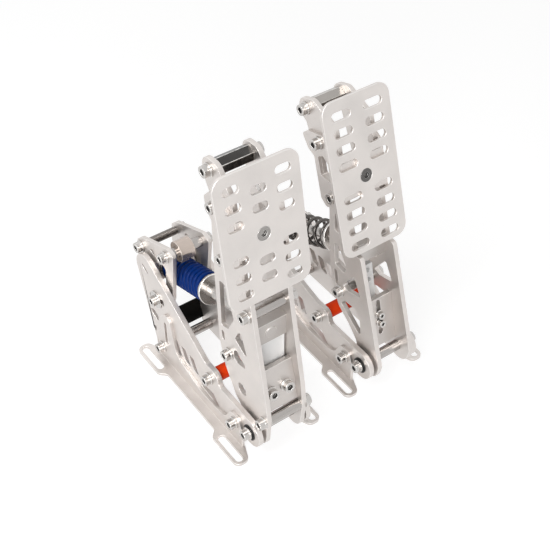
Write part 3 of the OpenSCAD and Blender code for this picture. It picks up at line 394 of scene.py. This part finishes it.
@dataclass(frozen=True)
class Finish:
    """One surface of the pedals, from its colour down to its tool marks."""

    name: str
    colour: Colour
    # The edge colour, and the edge roughness and amount further down, give worn edges with painted highlight.
    worn_and_highlit: Colour
    metallic: float = 1.0
    smooth: float = 0.36
    rough: float = 0.48
    worn_and_highlit_rough: float = 0.25
    wear_and_highlight: float = 0.6
    grain: float = 1500.0
    relief: float = 0.06
    mottle: float = 0.35
    dust: float = 0.04
    lines: Lines = Lines.NONE
    pitch: float = 9000.0
    line_share: float = 0.0
    coat: float = 0.0
    coat_rough: float = 0.08
    specular: float = 0.5
    # Amount of painted shade deep in screw sockets.
    painted_socket_shade: float = 0.0

    def material(self) -> bpy.types.Material:
        """Make the finish's material once.

        Returns:
            The material.
        """
        made = bpy.data.materials.get(self.name)
        if made is None:
            made = bpy.data.materials.new(self.name)
            made.use_nodes = True
            made.diffuse_color = (*self.colour, 1.0)
            self.wire(Graph(made.node_tree))
        return made

    def wire(self, graph: Graph) -> None:
        """Join the shared effects to the shader.

        Args:
            graph: the material's graph.
        """
        grain = BlastedGrain.place(
            graph,
            Color=(*self.colour, 1.0),
            Scale=self.grain,
            Mottle=self.mottle,
            Smooth=self.smooth,
            Rough=self.rough,
        )
        colour, roughness, height = grain["Color"], grain["Roughness"], grain["Height"]
        if self.lines is not Lines.NONE:
            marks = ToolMarks.place(graph, Direction=self.lines.value, Pitch=self.pitch, Waver=2.0)["Mask"]
            share = graph.maths("MULTIPLY", marks, self.line_share)
            colour = graph.tint("MULTIPLY", share, colour, (0.55, 0.55, 0.55, 1.0))
            height = graph.maths("ADD", height, marks)
        # Broken edges brightened: partly wear, partly painted highlight.
        worn_and_highlit = EdgeWearAndHighlight.place(
            graph,
            Color=colour,
            Roughness=roughness,
            Worn_Color=(*self.worn_and_highlit, 1.0),
            Worn_Roughness=self.worn_and_highlit_rough,
            Amount=self.wear_and_highlight,
        )
        last = ShopDust.place(graph, Color=worn_and_highlit["Color"], Roughness=worn_and_highlit["Roughness"], Amount=self.dust)
        # Painted shade deep in the sockets of screws.
        if self.painted_socket_shade > 0.0:
            last = SocketPaintedShade.place(
                graph, Color=last["Color"], Roughness=last["Roughness"], Amount=self.painted_socket_shade
            )
        bump = graph.add("ShaderNodeBump")
        bump.inputs["Strength"].default_value = self.relief
        bump.inputs["Distance"].default_value = 0.2 * MM
        graph.join(height, bump.inputs["Height"])
        shader = graph.add("ShaderNodeBsdfPrincipled")
        shader.inputs["Metallic"].default_value = self.metallic
        shader.inputs["Coat Weight"].default_value = self.coat
        shader.inputs["Coat Roughness"].default_value = self.coat_rough
        shader.inputs["Specular IOR Level"].default_value = self.specular
        graph.join(last["Color"], shader.inputs["Base Color"])
        graph.join(last["Roughness"], shader.inputs["Roughness"])
        graph.join(bump.outputs["Normal"], shader.inputs["Normal"])
        graph.join(shader.outputs["BSDF"], graph.add("ShaderNodeOutputMaterial").inputs["Surface"])


BRIGHT: Colour = (0.88, 0.86, 0.835)
STEEL: Colour = (0.74, 0.697, 0.667)
PLATE = Finish("blasted_plate", STEEL, BRIGHT, metallic=0.9)
CELL_HEAD = Finish(
    "milled_head", (0.6, 0.565, 0.54), BRIGHT, metallic=0.6, lines=Lines.UPRIGHT, line_share=0.1
)
FINISHES: dict[str, Finish] = {
    "foot_steel": Finish("foot_plate", STEEL, BRIGHT, metallic=0.9, dust=0.08),
    "frame_steel": PLATE,
    "carrier_steel": PLATE,
    "arm_steel": PLATE,
    "bracket_steel": PLATE,
    # Slightly paler than the other plates as painted light, where the face plate catches more light.
    "face_steel": Finish("face_plate", (0.75, 0.71, 0.682), BRIGHT, metallic=0.9, mottle=0.25),
    "cell_plate_steel": Finish("grey_plate", (0.63, 0.592, 0.566), BRIGHT, metallic=0.9),
    "bolt_steel": Finish(
        "bright_screw",
        (0.56, 0.54, 0.52),
        BRIGHT,
        smooth=0.12,
        rough=0.22,
        grain=700.0,
        relief=0.03,
        mottle=0.3,
        # Painted shade in the socket.
        painted_socket_shade=0.85,
    ),
    "rod_steel": Finish(
        "turned_rod",
        (0.47, 0.445, 0.425),
        BRIGHT,
        smooth=0.14,
        rough=0.26,
        lines=Lines.ACROSS,
        line_share=0.22,
    ),
    "push_rod_steel": Finish(
        "polished_rod",
        (0.5, 0.475, 0.455),
        BRIGHT,
        smooth=0.12,
        rough=0.24,
        lines=Lines.SPRING,
        line_share=0.12,
    ),
    # Rim fully brightened: wear and painted highlight.
    "disc_steel": Finish(
        "polished_disc", (0.52, 0.495, 0.475), BRIGHT, smooth=0.16, rough=0.28, relief=0.02, wear_and_highlight=1.0
    ),
    "seat_metal": Finish(
        "milled_seat", (0.5, 0.48, 0.465), BRIGHT, smooth=0.26, rough=0.4, lines=Lines.ACROSS, line_share=0.15
    ),
    "block_metal": Finish(
        "milled_block",
        (0.6, 0.575, 0.555),
        BRIGHT,
        smooth=0.26,
        rough=0.4,
        lines=Lines.UPRIGHT,
        line_share=0.15,
    ),
    "cell_metal": Finish(
        "white_block",
        (0.95, 0.95, 0.945),
        (0.96, 0.96, 0.955),
        metallic=0.0,
        smooth=0.4,
        rough=0.5,
        mottle=0.1,
        wear_and_highlight=0.2,
    ),
    "eye_metal": Finish(
        "warm_eye", (0.62, 0.53, 0.47), (0.86, 0.8, 0.74), smooth=0.16, rough=0.3, metallic=0.8
    ),
    "rod_dark": Finish(
        "oxide_thread", (0.22, 0.2, 0.185), (0.6, 0.57, 0.54), smooth=0.18, rough=0.32, wear_and_highlight=0.8, dust=0.03
    ),
    "bush_black": Finish(
        "black_bush",
        (0.012, 0.012, 0.012),
        (0.03, 0.03, 0.03),
        metallic=0.0,
        smooth=0.4,
        rough=0.55,
        worn_and_highlit_rough=0.4,
        specular=0.3,
    ),
    "panel_black": Finish(
        "black_panel",
        (0.003, 0.0033, 0.003),
        (0.02, 0.02, 0.02),
        metallic=0.0,
        smooth=0.38,
        rough=0.5,
        worn_and_highlit_rough=0.35,
        dust=0.0,
        specular=0.12,
    ),
    "sleeve_orange": Finish(
        "orange_sleeve",
        (0.95, 0.056, 0.003),
        (0.95, 0.13, 0.03),
        metallic=0.0,
        smooth=0.36,
        rough=0.5,
        worn_and_highlit_rough=0.4,
        wear_and_highlight=0.3,
        dust=0.0,
        specular=0.22,
    ),
    "brake_spring": Finish(
        "blue_enamel",
        (0.0004, 0.028, 0.19),
        (0.004, 0.07, 0.4),
        metallic=0.0,
        smooth=0.16,
        rough=0.26,
        worn_and_highlit_rough=0.3,
        wear_and_highlight=0.2,
        grain=420.0,
        coat=0.03,
        dust=0.0,
        specular=0.08,
    ),
    "throttle_spring": Finish(
        "dark_chrome",
        (0.11, 0.101, 0.094),
        (0.3, 0.29, 0.28),
        smooth=0.08,
        rough=0.16,
        grain=420.0,
        relief=0.03,
    ),
    # Bright bevels on the dark hex: wear and painted highlight.
    "brake_spacer": Finish("gunmetal_hex", (0.07, 0.067, 0.064), BRIGHT, smooth=0.2, rough=0.32, wear_and_highlight=1.0),
    "throttle_spacer": Finish("bright_hex", (0.42, 0.395, 0.37), BRIGHT, smooth=0.16, rough=0.28),
    # The two screws below get painted shade in their sockets.
    "brake_screw": Finish("light_screw", (0.36, 0.345, 0.33), BRIGHT, smooth=0.18, rough=0.3, painted_socket_shade=0.9),
    "throttle_screw": Finish(
        "dark_screw", (0.14, 0.135, 0.13), (0.5, 0.49, 0.48), smooth=0.2, rough=0.34, painted_socket_shade=0.9
    ),
}


@dataclass
class Workshop:
    """The loaded frame, and the making of pieces that follow it."""

    frame: dict
    slots: dict[str, str] = field(default_factory=dict)
    bodies: dict[str, str] = field(default_factory=dict)
    pieces: list[str] = field(default_factory=list)
    # Reach of the search for socket faces that get painted shade.
    socket_reach: float = 5.5 * MM
    weld: float = 0.004 * MM
    flat_turn: float = math.radians(0.6)
    sharp_turn: float = math.radians(38)

    def __post_init__(self) -> None:
        """Read each node's slot and body from the record."""
        record = self.frame["record"]
        self.slots = {row["node"]: row["material_slot"] for row in record["subparts"]}
        for body, nodes in record["behaviour"]["bodies"].items():
            self.bodies.update({node: body for node in nodes})

    def joint(self, name: str) -> dict:
        """One joint of the record."""
        return next(row for row in self.frame["joints"] if row["name"] == name)

    def points(self, node: str) -> list[Vector]:
        """The corners of a node's mesh."""
        return [vertex.co.copy() for vertex in self.frame["nodes"][node].data.vertices]

    def present(self, mesh: bpy.types.Mesh, node: str) -> bpy.types.Object:
        """Show a mesh in place of a node, with the node's finish and body.

        Args:
            mesh: the finished mesh, in the frame's own place.
            node: the node that it stands for.

        Returns:
            The new piece.
        """
        piece = bpy.data.objects.new(f"{node}_finished", mesh)
        bpy.context.scene.collection.objects.link(piece)
        mesh.materials.clear()
        mesh.materials.append(FINISHES[self.slots[node]].material())
        for face in mesh.polygons:
            face.use_smooth = True
        weigh = piece.modifiers.new("even_shading", "WEIGHTED_NORMAL")
        weigh.mode = "FACE_AREA"
        weigh.weight = 50
        weigh.keep_sharp = True
        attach(piece, self.bodies[node])
        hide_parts(node)
        self.pieces.append(piece.name)
        LOG.info("%s: %d faces on %s", piece.name, len(mesh.polygons), self.bodies[node])
        return piece

    def painted_shade_faces(self, shape: bmesh.types.BMesh) -> set[bmesh.types.BMFace]:
        """Faces that look at their own piece close by, as in a socket, and get painted shade.

        Args:
            shape: the mesh to search.

        Returns:
            The walls and floors of its sockets, for painted shade.
        """
        tree = BVHTree.FromBMesh(shape)
        walls = set()
        for face in shape.faces:
            start = face.calc_center_median() + face.normal * 0.02 * MM
            normal = tree.ray_cast(start, face.normal, self.socket_reach)[1]
            if normal is not None and normal.dot(face.normal) < -0.4:
                walls.add(face)
        floors = set()
        for face in shape.faces:
            around = {near for edge in face.edges for near in edge.link_faces if near is not face}
            if around and around <= walls:
                floors.add(face)
        return walls | floors

    def crisp(self, node: str, rim: float, steps: int = 2) -> bpy.types.Object:
        """Show a node with its sharp edges broken.

        Args:
            node: the node to finish.
            rim: width of the broken edge, in metres.
            steps: faces across the broken edge.

        Returns:
            The new piece.
        """
        shape = bmesh.new()
        shape.from_mesh(self.frame["nodes"][node].data)
        bmesh.ops.remove_doubles(shape, verts=shape.verts, dist=self.weld)
        bmesh.ops.dissolve_limit(
            shape, angle_limit=self.flat_turn, verts=shape.verts, edges=shape.edges
        )
        shape.normal_update()
        paired = [edge for edge in shape.edges if len(edge.link_faces) == 2]
        sharp = [edge for edge in paired if edge.calc_face_angle(0.0) > self.sharp_turn]
        layer = shape.faces.layers.float.new(RIM_LAYER)
        broken = bmesh.ops.bevel(
            shape,
            geom=sharp,
            offset=rim,
            offset_type="OFFSET",
            segments=steps,
            profile=0.5,
            affect="EDGES",
            clamp_overlap=False,
        )
        # Bevel faces are marked for the worn edges with painted highlight.
        for face in broken["faces"]:
            face[layer] = 1.0
        # Faces deep in sockets are marked for painted shade.
        if FINISHES[self.slots[node]].painted_socket_shade > 0.0:
            depth = shape.faces.layers.float.new(PAINTED_SHADE_LAYER)
            shape.normal_update()
            for face in self.painted_shade_faces(shape):
                face[depth] = 1.0
        mesh = bpy.data.meshes.new(f"{node}_finished")
        shape.to_mesh(mesh)
        shape.free()
        return self.present(mesh, node)


@dataclass
class Group:
    """One sub-assembly of one pedal."""

    shop: Workshop
    pedal: Pedal

    def finish_all(self, names: Iterable[str], rim: float, steps: int = 2) -> None:
        """Break the edges of several nodes.

        Args:
            names: the nodes' names without the pedal's.
            rim: width of the broken edge, in metres.
            steps: faces across the broken edge.
        """
        for name in names:
            self.shop.crisp(self.pedal.node(name), rim, steps)


@dataclass
class FloorFeet(Group):
    """The two bent floor plates."""

    rim: float = 0.3 * MM

    def build(self) -> None:
        """Make both feet."""
        self.finish_all(("foot_left", "foot_right"), self.rim)


@dataclass
class SideFrames(Group):
    """The side plates with their screws, bushes, tie rods and stop sleeve."""

    plate_rim: float = 0.35 * MM
    screw_rim: float = 0.3 * MM
    bush_rim: float = 0.25 * MM
    rod_rim: float = 0.4 * MM
    sleeve_rim: float = 0.6 * MM

    def build(self) -> None:
        """Make everything that stays still at the front and sides."""
        self.finish_all(("frame_left", "frame_right"), self.plate_rim)
        self.finish_all(("frame_bolts",), self.screw_rim)
        self.finish_all(("pivot_bushes",), self.bush_rim)
        self.finish_all(("frame_rods",), self.rod_rim)
        self.finish_all(("stop_sleeve",), self.sleeve_rim, 3)
        if self.pedal is Pedal.BRAKE:
            self.finish_all(("rear_panel",), self.plate_rim)


@dataclass
class RearCarrier(Group):
    """The rear plates, their rods, the eye and the spring's rear seat."""

    plate_rim: float = 0.35 * MM
    rod_rim: float = 0.4 * MM
    seat_rim: float = 0.5 * MM
    thread_pitch: float = 1.25 * MM
    thread_depth: float = 0.55 * MM
    thread_steps: int = 6
    groove_slope: float = 1.25
    sides: int = 40

    def build(self) -> None:
        """Make the rear seat and, on the brake, the plates and rods around it."""
        self.finish_all(("rear_seat",), self.seat_rim, 3)
        if self.pedal is Pedal.BRAKE:
            self.finish_all(("carrier_left", "carrier_right"), self.plate_rim)
            self.finish_all(("top_rod",), self.rod_rim)
            self.finish_all(("rod_eye",), self.seat_rim, 3)
            self.threaded_rod()

    def threaded_rod(self) -> bpy.types.Object:
        """Make the dark rod with a cut thread along its whole length.

        Returns:
            The piece that stands for the plain rod.
        """
        node = self.pedal.node("back_rod")
        low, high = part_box(node)
        middle = (low + high) / 2
        radius = (high.z - low.z) / 2
        step = self.thread_pitch / self.thread_steps
        count = int((high.x - low.x) / step)
        shape = bmesh.new()
        rings = []
        for k in range(count + 1):
            x = low.x + (high.x - low.x) * k / count
            taper = min(1.0, (min(k, count - k) * step) / self.thread_pitch)
            ring = []
            for j in range(self.sides):
                share = j / self.sides
                phase = ((x - low.x) / self.thread_pitch - share) % 1.0
                groove = self.thread_depth * max(0.0, 1.0 - abs(2.0 * phase - 1.0) * self.groove_slope)
                reach = radius - groove - (1.0 - taper) * self.thread_depth
                angle = 2.0 * math.pi * share
                y = middle.y + reach * math.cos(angle)
                z = middle.z + reach * math.sin(angle)
                ring.append(shape.verts.new((x, y, z)))
            rings.append(ring)
        for one, two in zip(rings, rings[1:]):
            for j in range(self.sides):
                n = (j + 1) % self.sides
                shape.faces.new((one[j], one[n], two[n], two[j]))
        shape.faces.new(list(reversed(rings[0])))
        shape.faces.new(rings[-1])
        bmesh.ops.recalc_face_normals(shape, faces=shape.faces)
        mesh = bpy.data.meshes.new(f"{node}_finished")
        shape.to_mesh(mesh)
        shape.free()
        return self.shop.present(mesh, node)


@dataclass
class PushUnit(Group):
    """The push rod, its disc and the wound spring that the pedal presses."""

    rod_rim: float = 0.5 * MM
    disc_rim: float = 0.6 * MM
    wire: float = 4.6 * MM
    curls: float = 10.75
    closed: float = 0.75
    sides: int = 20
    steps: int = 40

    def build(self) -> None:
        """Make the push rod, the disc and the spring."""
        self.finish_all(("push_rod",), self.rod_rim, 3)
        self.finish_all(("spring_disc",), self.disc_rim, 3)
        self.wound_spring()

    def rise(self, turn: float, length: float) -> float:
        """Height of the wire's middle after some turns, with closer turns at both ends.

        Args:
            turn: turns from the first end.
            length: height between the first and the last middle.

        Returns:
            The height along the spring.
        """
        slow = self.wire * 1.06
        open_turns = self.curls - 2 * self.closed
        fast = (length - 2 * self.closed * slow) / open_turns
        ends = min(turn, self.closed) + max(0.0, turn - (self.curls - self.closed))
        return slow * ends + fast * min(max(turn - self.closed, 0.0), open_turns)

    def wound_spring(self) -> bpy.types.Object:
        """Make the spring as one round wire.

        Returns:
            The piece that stands for the plain spring.
        """
        node = self.pedal.node("spring")
        joint = self.shop.joint(self.pedal.node("plunge"))
        axis = Vector(joint["axis"]).normalized()
        side = Vector((1.0, 0.0, 0.0))
        up = axis.cross(side).normalized()
        corners = self.shop.points(node)
        spans = {key: [p.dot(way) for p in corners] for key, way in (("a", axis), ("s", side), ("u", up))}
        low, high = min(spans["a"]), max(spans["a"])
        middle = side * (min(spans["s"]) + max(spans["s"])) / 2 + up * (min(spans["u"]) + max(spans["u"])) / 2
        radius = (max(spans["s"]) - min(spans["s"])) / 2 - self.wire / 2
        length = high - low - self.wire
        total = int(self.curls * self.steps)
        shape = bmesh.new()
        rings = []
        for k in range(total + 1):
            turn = k / self.steps
            angle = 2.0 * math.pi * turn
            out = side * math.cos(angle) + up * math.sin(angle)
            centre = middle + axis * (low + self.wire / 2 + self.rise(turn, length)) + out * radius
            ring = []
            for j in range(self.sides):
                lean = 2.0 * math.pi * j / self.sides
                reach = self.wire / 2
                ring.append(shape.verts.new(centre + (out * math.cos(lean) + axis * math.sin(lean)) * reach))
            rings.append(ring)
        for one, two in zip(rings, rings[1:]):
            for j in range(self.sides):
                n = (j + 1) % self.sides
                shape.faces.new((one[j], one[n], two[n], two[j]))
        shape.faces.new(list(reversed(rings[0])))
        shape.faces.new(rings[-1])
        bmesh.ops.recalc_face_normals(shape, faces=shape.faces)
        mesh = bpy.data.meshes.new(f"{node}_finished")
        shape.to_mesh(mesh)
        shape.free()
        piece = self.shop.present(mesh, node)
        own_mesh(piece)
        return piece


@dataclass
class PedalArm(Group):
    """The two arm plates with their axle, rods, spacer and screws."""

    plate_rim: float = 0.35 * MM
    rod_rim: float = 0.4 * MM
    screw_rim: float = 0.3 * MM

    def build(self) -> None:
        """Make the swinging arm."""
        self.finish_all(("arm_left", "arm_right"), self.plate_rim)
        self.finish_all(("pivot_axle", "arm_rods", "top_spacer"), self.rod_rim)
        self.finish_all(("arm_bolts",), self.screw_rim)


@dataclass
class ForceSensor(Group):
    """What stands between the arm plates and takes the push."""

    block_rim: float = 0.4 * MM
    plate_rim: float = 0.35 * MM
    head_h: float = 22.2 * MM

    def two_tone(self, piece: bpy.types.Object) -> None:
        """Give the head of the load cell its own grey finish.

        Args:
            piece: the finished load cell.
        """
        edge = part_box(self.pedal.node("load_cell"))[1].z - self.head_h
        piece.data.materials.append(CELL_HEAD.material())
        for face in piece.data.polygons:
            if face.center.z > edge:
                face.material_index = 1

    def build(self) -> None:
        """Make the brake's cell or the throttle's beam and block."""
        if self.pedal is Pedal.BRAKE:
            self.two_tone(self.shop.crisp(self.pedal.node("load_cell"), self.block_rim, 3))
            self.finish_all(("cell_plate",), self.plate_rim)
        else:
            self.finish_all(("push_block", "sensor_beam"), self.block_rim, 3)
            self.finish_all(("sensor_plate",), self.plate_rim)


@dataclass
class FacePad(Group):
    """The bracket, the slotted face plate and its screw."""

    plate_rim: float = 0.45 * MM
    bracket_rim: float = 0.18 * MM
    screw_rim: float = 0.25 * MM

    def build(self) -> None:
        """Make the plate that the foot presses."""
        self.finish_all(("face_bracket",), self.bracket_rim)
        self.finish_all(("face_plate",), self.plate_rim, 3)
        self.finish_all(("face_screw",), self.screw_rim)


@dataclass(frozen=True)
class SoftBox:
    """One large soft lamp."""

    name: str
    place: tuple[float, float, float]
    aim: tuple[float, float, float]
    width: float
    power: float

    def build(self) -> None:
        """Hang the lamp."""
        lamp = bpy.data.lights.new(self.name, "AREA")
        lamp.shape = "DISK"
        lamp.size = self.width
        lamp.energy = self.power
        holder = bpy.data.objects.new(self.name, lamp)
        bpy.context.scene.collection.objects.link(holder)
        holder.location = self.place
        away = Vector(self.place) - Vector(self.aim)
        holder.rotation_euler = away.to_track_quat("Z", "Y").to_euler()
        LOG.info("lamp %s", self.name)


@dataclass
class Studio:
    """The floor, the lamps, the surroundings and the camera."""

    eye: tuple[float, float, float] = (-0.4131, -0.574869, 0.7729)
    target: tuple[float, float, float] = (-0.0213, -0.027369, 0.1333)
    lens: float = 70.44
    sensor: float = 36.0
    floor_half: float = 6.0
    floor_drop: float = 0.05 * MM
    room_light: float = 0.16
    room_seen: float = 1.0
    floor_paint: float = 0.6
    floor_pale: float = 0.32
    floor_glow: float = 0.83
    lamps: tuple[SoftBox, ...] = (
        SoftBox("left_lamp", (-1.05, -0.2, 1.8), (0.0, 0.0, 0.1), 1.0, 17.0),
        SoftBox("front_lamp", (-1.05, -1.4, 0.85), (0.0, 0.0, 0.1), 1.0, 17.0),
        SoftBox("back_lamp", (0.1, 1.4, 1.5), (0.0, 0.0, 0.1), 1.0, 1.5),
    )

    def build(self) -> None:
        """Set everything up round the pedals."""
        bpy.context.scene.view_settings.view_transform = "Standard"
        self.surroundings()
        self.floor()
        for lamp in self.lamps:
            lamp.build()
        self.camera()

    def seen(self, graph: Graph) -> bpy.types.NodeSocket:
        """Mask of the rays that see the background itself.

        Args:
            graph: the graph to add the mask to.

        Returns:
            One for camera, glossy and transmission rays, and nought for the rest.
        """
        path = graph.add("ShaderNodeLightPath").outputs
        glossy = graph.maths("MAXIMUM", path["Is Glossy Ray"], path["Is Transmission Ray"])
        return graph.maths("MAXIMUM", path["Is Camera Ray"], glossy)

    def surroundings(self) -> None:
        """A white world that lights the pedals softly."""
        world = bpy.data.worlds.new("white_room")
        world.use_nodes = True
        bpy.context.scene.world = world
        graph = Graph(world.node_tree)
        soft = graph.add("ShaderNodeBackground")
        soft.inputs["Color"].default_value = (1.0, 0.995, 0.985, 1.0)
        soft.inputs["Strength"].default_value = self.room_light
        plain = graph.add("ShaderNodeBackground")
        plain.inputs["Color"].default_value = (1.0, 1.0, 1.0, 1.0)
        plain.inputs["Strength"].default_value = self.room_seen
        mix = graph.add("ShaderNodeMixShader")
        graph.join(self.seen(graph), mix.inputs[0])
        graph.join(soft.outputs[0], mix.inputs[1])
        graph.join(plain.outputs[0], mix.inputs[2])
        graph.join(mix.outputs[0], graph.add("ShaderNodeOutputWorld").inputs["Surface"])

    def floor(self) -> None:
        """A plain pale floor that keeps the shadow."""
        half = self.floor_half
        mesh = bpy.data.meshes.new("studio_floor")
        corners = [(-half, -half, -self.floor_drop), (half, -half, -self.floor_drop)]
        corners += [(half, half, -self.floor_drop), (-half, half, -self.floor_drop)]
        mesh.from_pydata(corners, [], [(0, 1, 2, 3)])
        floor = bpy.data.objects.new("studio_floor", mesh)
        bpy.context.scene.collection.objects.link(floor)
        material = bpy.data.materials.new("pale_floor")
        material.use_nodes = True
        graph = Graph(material.node_tree)
        paint = graph.add("ShaderNodeBsdfDiffuse")
        paint.inputs["Color"].default_value = (*[self.floor_paint] * 3, 1.0)
        pale = graph.add("ShaderNodeBsdfDiffuse")
        pale.inputs["Color"].default_value = (*[self.floor_pale] * 3, 1.0)
        glow = graph.add("ShaderNodeEmission")
        glow.inputs["Strength"].default_value = self.floor_glow
        lit = graph.add("ShaderNodeAddShader")
        graph.join(pale.outputs[0], lit.inputs[0])
        graph.join(glow.outputs[0], lit.inputs[1])
        mix = graph.add("ShaderNodeMixShader")
        graph.join(self.seen(graph), mix.inputs[0])
        graph.join(paint.outputs[0], mix.inputs[1])
        graph.join(lit.outputs[0], mix.inputs[2])
        graph.join(mix.outputs[0], graph.add("ShaderNodeOutputMaterial").inputs["Surface"])
        mesh.materials.append(material)
        LOG.info("floor laid")

    def camera(self) -> None:
        """Look at the pedals from the driver's left, from above."""
        data = bpy.data.cameras.new("eye")
        data.lens = self.lens
        data.sensor_width = self.sensor
        data.clip_start = 0.01
        camera = bpy.data.objects.new("eye", data)
        bpy.context.scene.collection.objects.link(camera)
        camera.location = self.eye
        away = Vector(self.eye) - Vector(self.target)
        camera.rotation_euler = away.to_track_quat("Z", "Y").to_euler()
        bpy.context.scene.camera = camera
        LOG.info("camera set")


SPRINGS: dict[Pedal, tuple[float, float]] = {
    Pedal.BRAKE: (4.6 * MM, 10.75),
    Pedal.THROTTLE: (3.3 * MM, 7.25),
}


def main() -> None:
    """Load the frame, finish both pedals and set the studio."""
    logging.basicConfig(level=logging.INFO, format="%(name)s: %(message)s")
    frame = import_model()
    shop = Workshop(frame)
    Studio().build()
    for pedal in Pedal:
        wire, curls = SPRINGS[pedal]
        for group in (
            FloorFeet(shop, pedal),
            SideFrames(shop, pedal),
            RearCarrier(shop, pedal),
            PushUnit(shop, pedal, wire=wire, curls=curls),
            PedalArm(shop, pedal),
            ForceSensor(shop, pedal),
            FacePad(shop, pedal),
        ):
            group.build()
    LOG.info("%d pieces finished", len(shop.pieces))


if __name__ == "__main__":
    main()
